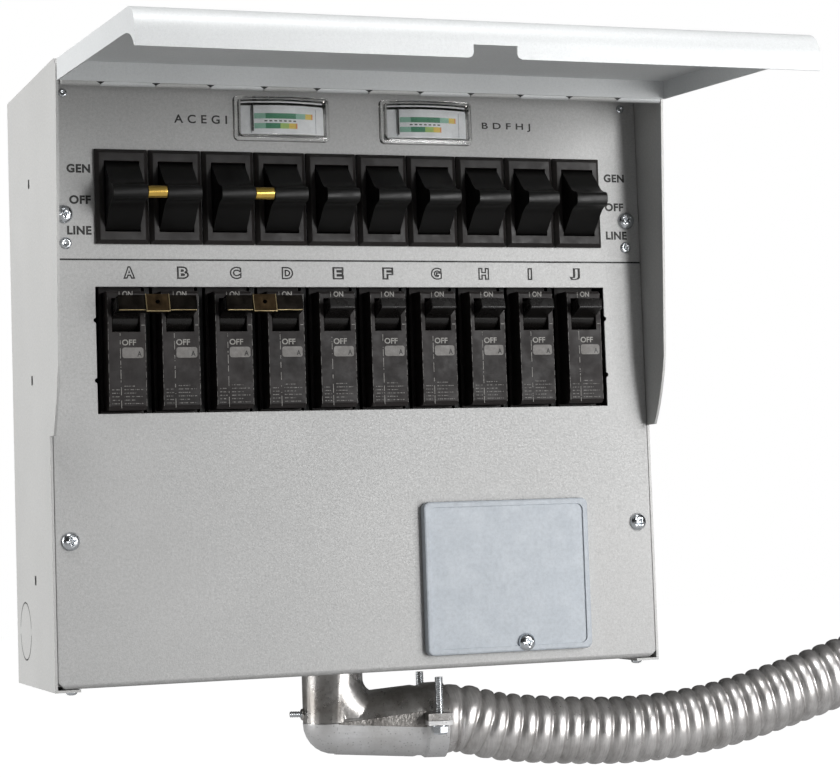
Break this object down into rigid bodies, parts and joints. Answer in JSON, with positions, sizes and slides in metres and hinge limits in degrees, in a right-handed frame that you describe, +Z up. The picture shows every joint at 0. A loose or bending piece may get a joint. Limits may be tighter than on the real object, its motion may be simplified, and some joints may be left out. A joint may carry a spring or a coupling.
{
  "type": "manual transfer switch",
  "caption": "Wall-hung steel transfer switch box with a lift-up lid, rocker switches, breakers behind a window, two small meters, a cover plate and a flexible conduit whip.",
  "frame": {"origin": "centre of the flat back face that rests on the wall", "axes": "+Y into the wall, +X to the right as seen from the front, +Z up"},
  "size_m": [0.8846, 0.3455, 0.421],
  "materials": {
    "body_paint": "satin",
    "panel_paint": "satin",
    "lid_paint": "satin",
    "switch_black": "satin",
    "breaker_black": "satin",
    "toggle_black": "gloss",
    "tie_brass": "gloss",
    "tie_bronze": "satin",
    "base_black": "matte",
    "meter_white": "matte",
    "meter_clear": "gloss",
    "needle_black": "matte",
    "plate_grey": "satin",
    "casting": "satin",
    "conduit_metal": "satin"
  },
  "bodies": {
    "base": {"enclosure": "body_paint", "switch_panel": "panel_paint", "front_cover": "panel_paint", "switch_housing_a": "switch_black", "breaker_a": "breaker_black", "switch_housing_b": "switch_black", "breaker_b": "breaker_black", "switch_housing_c": "switch_black", "breaker_c": "breaker_black", "switch_housing_d": "switch_black", "breaker_d": "breaker_black", "switch_housing_e": "switch_black", "breaker_e": "breaker_black", "switch_housing_f": "switch_black", "breaker_f": "breaker_black", "switch_housing_g": "switch_black", "breaker_g": "breaker_black", "switch_housing_h": "switch_black", "breaker_h": "breaker_black", "switch_housing_i": "switch_black", "breaker_i": "breaker_black", "switch_housing_j": "switch_black", "breaker_j": "breaker_black", "breaker_base": "base_black", "meter_case_left": "meter_white", "meter_lens_left": "meter_clear", "meter_case_right": "meter_white", "meter_lens_right": "meter_clear", "inlet_cover_plate": "plate_grey", "conduit_elbow": "casting", "elbow_cap": "casting", "conduit": "conduit_metal", "conduit_end_connector": "casting"},
    "lid": {"lid": "lid_paint"},
    "switch_ab": {"rocker_a": "switch_black", "rocker_b": "switch_black", "rocker_tie_ab": "tie_brass"},
    "switch_cd": {"rocker_c": "switch_black", "rocker_d": "switch_black", "rocker_tie_cd": "tie_brass"},
    "switch_e": {"rocker_e": "switch_black"},
    "switch_f": {"rocker_f": "switch_black"},
    "switch_g": {"rocker_g": "switch_black"},
    "switch_h": {"rocker_h": "switch_black"},
    "switch_i": {"rocker_i": "switch_black"},
    "switch_j": {"rocker_j": "switch_black"},
    "toggle_ab": {"breaker_toggle_a": "toggle_black", "breaker_toggle_b": "toggle_black", "breaker_tie_ab": "tie_bronze"},
    "toggle_cd": {"breaker_toggle_c": "toggle_black", "breaker_toggle_d": "toggle_black", "breaker_tie_cd": "tie_bronze"},
    "toggle_e": {"breaker_toggle_e": "toggle_black"},
    "toggle_f": {"breaker_toggle_f": "toggle_black"},
    "toggle_g": {"breaker_toggle_g": "toggle_black"},
    "toggle_h": {"breaker_toggle_h": "toggle_black"},
    "toggle_i": {"breaker_toggle_i": "toggle_black"},
    "toggle_j": {"breaker_toggle_j": "toggle_black"},
    "needle_left": {"meter_needle_left": "needle_black"},
    "needle_right": {"meter_needle_right": "needle_black"}
  },
  "joints": [
    {"name": "lid_hinge", "type": "hinge", "parent": "base", "child": "lid", "pos_m": [0, -0.1528, 0.1636], "axis": [1, 0, 0], "range_deg": [0, 90.8]},
    {"name": "switch_ab_rock", "type": "hinge", "parent": "base", "child": "switch_ab", "pos_m": [-0.127, -0.114, 0.1044], "axis": [1, 0, 0], "range_deg": [-15, 15]},
    {"name": "switch_cd_rock", "type": "hinge", "parent": "base", "child": "switch_cd", "pos_m": [-0.0635, -0.114, 0.1044], "axis": [1, 0, 0], "range_deg": [-15, 15]},
    {"name": "switch_e_rock", "type": "hinge", "parent": "base", "child": "switch_e", "pos_m": [-0.01588, -0.114, 0.1044], "axis": [1, 0, 0], "range_deg": [-15, 15]},
    {"name": "switch_f_rock", "type": "hinge", "parent": "base", "child": "switch_f", "pos_m": [0.01588, -0.114, 0.1044], "axis": [1, 0, 0], "range_deg": [-15, 15]},
    {"name": "switch_g_rock", "type": "hinge", "parent": "base", "child": "switch_g", "pos_m": [0.04763, -0.114, 0.1044], "axis": [1, 0, 0], "range_deg": [-15, 15]},
    {"name": "switch_h_rock", "type": "hinge", "parent": "base", "child": "switch_h", "pos_m": [0.07938, -0.114, 0.1044], "axis": [1, 0, 0], "range_deg": [-15, 15]},
    {"name": "switch_i_rock", "type": "hinge", "parent": "base", "child": "switch_i", "pos_m": [0.11113, -0.114, 0.1044], "axis": [1, 0, 0], "range_deg": [-15, 15]},
    {"name": "switch_j_rock", "type": "hinge", "parent": "base", "child": "switch_j", "pos_m": [0.14288, -0.114, 0.1044], "axis": [1, 0, 0], "range_deg": [-15, 15]},
    {"name": "toggle_ab_throw", "type": "hinge", "parent": "base", "child": "toggle_ab", "pos_m": [-0.127, -0.11, 0.0355], "axis": [1, 0, 0], "range_deg": [0, 31]},
    {"name": "toggle_cd_throw", "type": "hinge", "parent": "base", "child": "toggle_cd", "pos_m": [-0.0635, -0.11, 0.0355], "axis": [1, 0, 0], "range_deg": [0, 31]},
    {"name": "toggle_e_throw", "type": "hinge", "parent": "base", "child": "toggle_e", "pos_m": [-0.01588, -0.11, 0.0355], "axis": [1, 0, 0], "range_deg": [0, 31]},
    {"name": "toggle_f_throw", "type": "hinge", "parent": "base", "child": "toggle_f", "pos_m": [0.01588, -0.11, 0.0355], "axis": [1, 0, 0], "range_deg": [0, 31]},
    {"name": "toggle_g_throw", "type": "hinge", "parent": "base", "child": "toggle_g", "pos_m": [0.04763, -0.11, 0.0355], "axis": [1, 0, 0], "range_deg": [0, 31]},
    {"name": "toggle_h_throw", "type": "hinge", "parent": "base", "child": "toggle_h", "pos_m": [0.07938, -0.11, 0.0355], "axis": [1, 0, 0], "range_deg": [0, 31]},
    {"name": "toggle_i_throw", "type": "hinge", "parent": "base", "child": "toggle_i", "pos_m": [0.11113, -0.11, 0.0355], "axis": [1, 0, 0], "range_deg": [0, 31]},
    {"name": "toggle_j_throw", "type": "hinge", "parent": "base", "child": "toggle_j", "pos_m": [0.14288, -0.11, 0.0355], "axis": [1, 0, 0], "range_deg": [0, 31]},
    {"name": "needle_left_swing", "type": "hinge", "parent": "base", "child": "needle_left", "pos_m": [-0.0454, -0.0743, 0.1521], "axis": [0, 0, 1], "range_deg": [0, 45], "stiffness_Nm_per_rad": 0.0005},
    {"name": "needle_right_swing", "type": "hinge", "parent": "base", "child": "needle_right", "pos_m": [0.0454, -0.0743, 0.1521], "axis": [0, 0, 1], "range_deg": [0, 45], "stiffness_Nm_per_rad": 0.0005}
  ]
}
